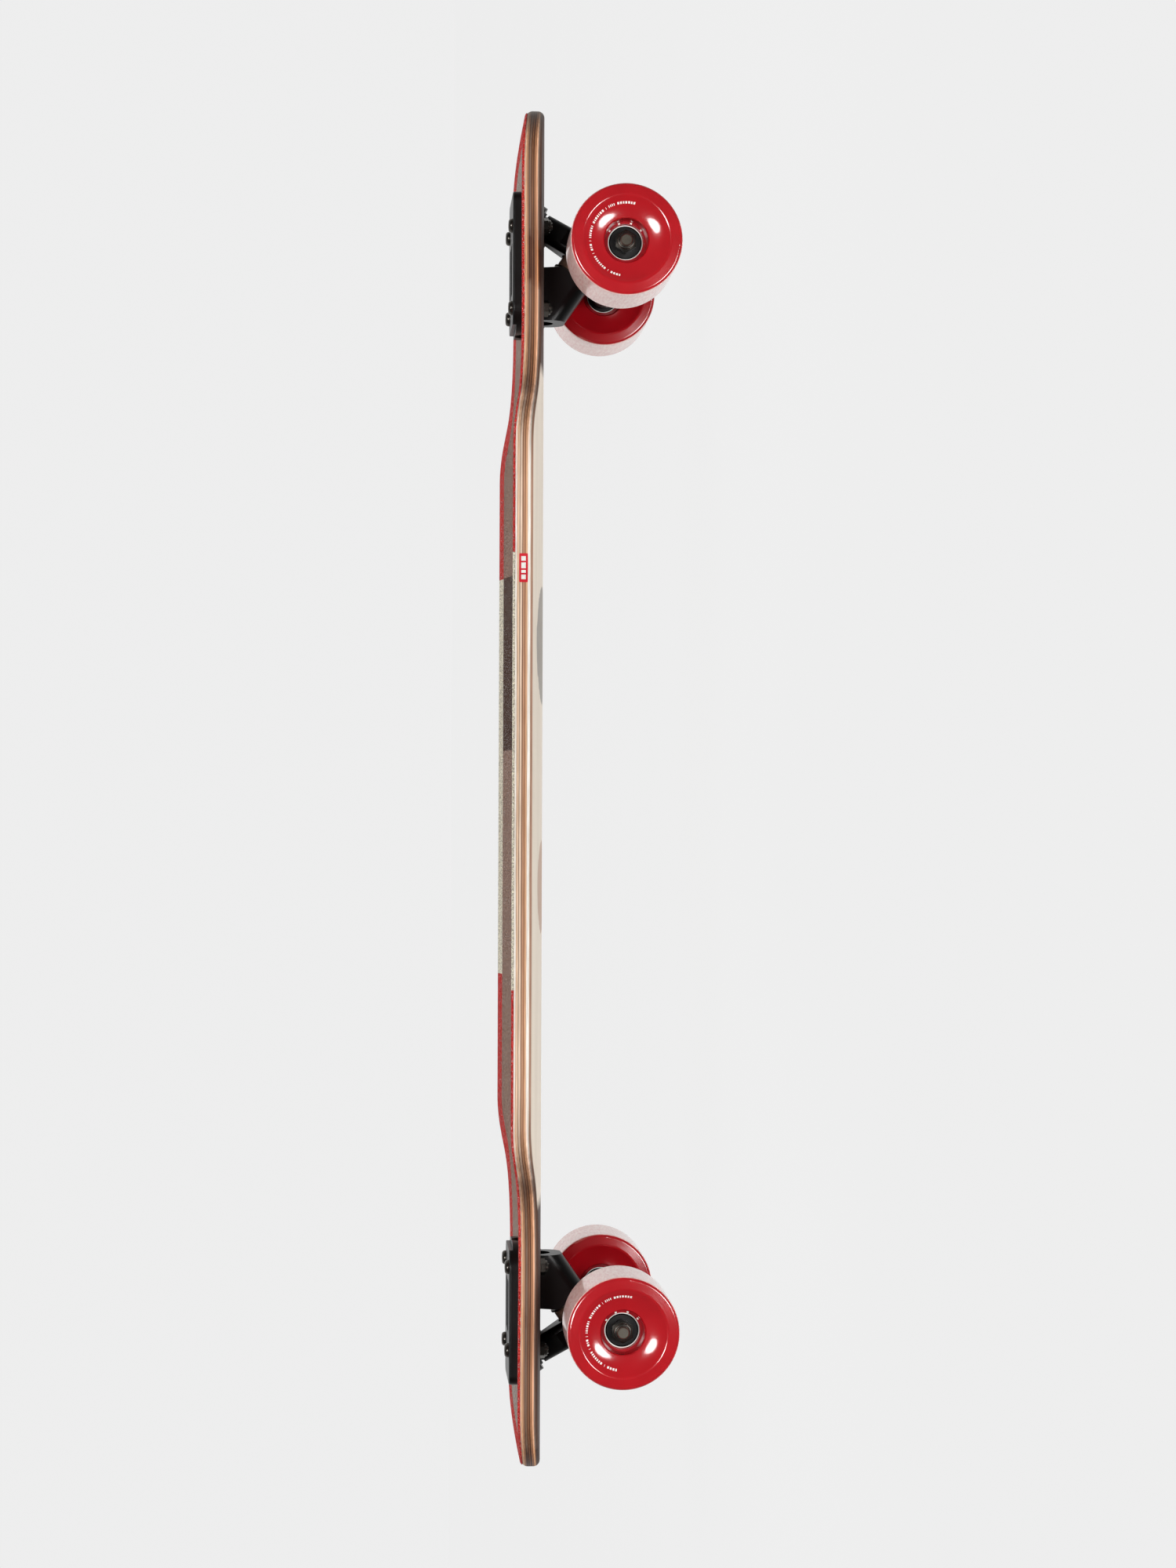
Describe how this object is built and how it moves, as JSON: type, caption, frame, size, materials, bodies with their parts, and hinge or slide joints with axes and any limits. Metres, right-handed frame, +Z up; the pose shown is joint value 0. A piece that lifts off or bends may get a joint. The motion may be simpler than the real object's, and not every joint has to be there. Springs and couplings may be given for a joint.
{
  "type": "drop-through longboard skateboard",
  "caption": "Drop-through longboard with a concave laminated deck, gritted top, steering trucks on urethane bushings and wide soft wheels on ball bearings.",
  "frame": {"origin": "on the ground under the middle of the deck, midway between the axles", "axes": "+X to the nose along the board, +Z up, +Y to the left rail; the board stands on its wheels"},
  "size_m": [0.889, 0.2344, 0.1051],
  "materials": {
    "maple_deck": "clear-coated laminated maple with printed underside",
    "grip_tape": "mineral grit with printed stripes",
    "badge": "gloss",
    "cast_black": "semi-gloss black powder coat on cast aluminium",
    "pivot_plastic": "moulded",
    "zinc_steel": "zinc plated",
    "black_hardware": "black oxide",
    "bushing_urethane": "satin urethane",
    "bearing_steel": "ground and polished",
    "bearing_shield": "satin black",
    "core_plastic": "gloss",
    "red_urethane": "glossy poured urethane, ground tread"
  },
  "bodies": {
    "root": {"deck": "maple_deck", "grip_tape": "grip_tape", "nose_baseplate": "cast_black", "nose_board_bushing": "bushing_urethane", "nose_cup_washers": "zinc_steel", "nose_kingpin": "zinc_steel", "nose_kingpin_nut": "black_hardware", "nose_mounting_bolts": "black_hardware", "nose_mounting_nuts": "black_hardware", "nose_pivot_cup": "pivot_plastic", "nose_road_bushing": "bushing_urethane", "rail_badge": "badge", "tail_baseplate": "cast_black", "tail_board_bushing": "bushing_urethane", "tail_cup_washers": "zinc_steel", "tail_kingpin": "zinc_steel", "tail_kingpin_nut": "black_hardware", "tail_mounting_bolts": "black_hardware", "tail_mounting_nuts": "black_hardware", "tail_pivot_cup": "pivot_plastic", "tail_road_bushing": "bushing_urethane"},
    "nose_truck": {"nose_hanger": "cast_black", "nose_axle": "zinc_steel", "nose_inner_races": "bearing_steel", "nose_bearing_spacers": "zinc_steel", "nose_speed_washers": "zinc_steel", "nose_axle_nuts": "black_hardware"},
    "nose_left_wheel": {"nose_left_wheel_tyre": "red_urethane", "nose_left_wheel_core": "core_plastic", "nose_left_outer_races": "bearing_steel", "nose_left_bearing_shields": "bearing_shield", "nose_left_bearing_balls": "bearing_steel"},
    "nose_right_wheel": {"nose_right_wheel_tyre": "red_urethane", "nose_right_wheel_core": "core_plastic", "nose_right_outer_races": "bearing_steel", "nose_right_bearing_shields": "bearing_shield", "nose_right_bearing_balls": "bearing_steel"},
    "tail_truck": {"tail_hanger": "cast_black", "tail_axle": "zinc_steel", "tail_inner_races": "bearing_steel", "tail_bearing_spacers": "zinc_steel", "tail_speed_washers": "zinc_steel", "tail_axle_nuts": "black_hardware"},
    "tail_left_wheel": {"tail_left_wheel_tyre": "red_urethane", "tail_left_wheel_core": "core_plastic", "tail_left_outer_races": "bearing_steel", "tail_left_bearing_shields": "bearing_shield", "tail_left_bearing_balls": "bearing_steel"},
    "tail_right_wheel": {"tail_right_wheel_tyre": "red_urethane", "tail_right_wheel_core": "core_plastic", "tail_right_outer_races": "bearing_steel", "tail_right_bearing_shields": "bearing_shield", "tail_right_bearing_balls": "bearing_steel"}
  },
  "joints": [
    {"name": "nose_truck_steer", "type": "hinge", "parent": "root", "child": "nose_truck", "pos_m": [0.3397, 0, 0.035], "axis": [0.5736, 0, 0.8192], "range_deg": [-15, 15], "stiffness_Nm_per_rad": 60, "deforming": ["nose_board_bushing", "nose_road_bushing"]},
    {"name": "nose_left_wheel_spin", "type": "hinge", "parent": "nose_truck", "child": "nose_left_wheel", "pos_m": [0.3397, 0.0907, 0.035], "axis": [0, 1, 0], "continuous": true},
    {"name": "nose_right_wheel_spin", "type": "hinge", "parent": "nose_truck", "child": "nose_right_wheel", "pos_m": [0.3397, -0.0907, 0.035], "axis": [0, 1, 0], "continuous": true},
    {"name": "tail_truck_steer", "type": "hinge", "parent": "root", "child": "tail_truck", "pos_m": [-0.3397, 0, 0.035], "axis": [-0.5736, 0, 0.8192], "range_deg": [-15, 15], "stiffness_Nm_per_rad": 60, "deforming": ["tail_board_bushing", "tail_road_bushing"]},
    {"name": "tail_left_wheel_spin", "type": "hinge", "parent": "tail_truck", "child": "tail_left_wheel", "pos_m": [-0.3397, 0.0907, 0.035], "axis": [0, 1, 0], "continuous": true},
    {"name": "tail_right_wheel_spin", "type": "hinge", "parent": "tail_truck", "child": "tail_right_wheel", "pos_m": [-0.3397, -0.0907, 0.035], "axis": [0, 1, 0], "continuous": true}
  ]
}
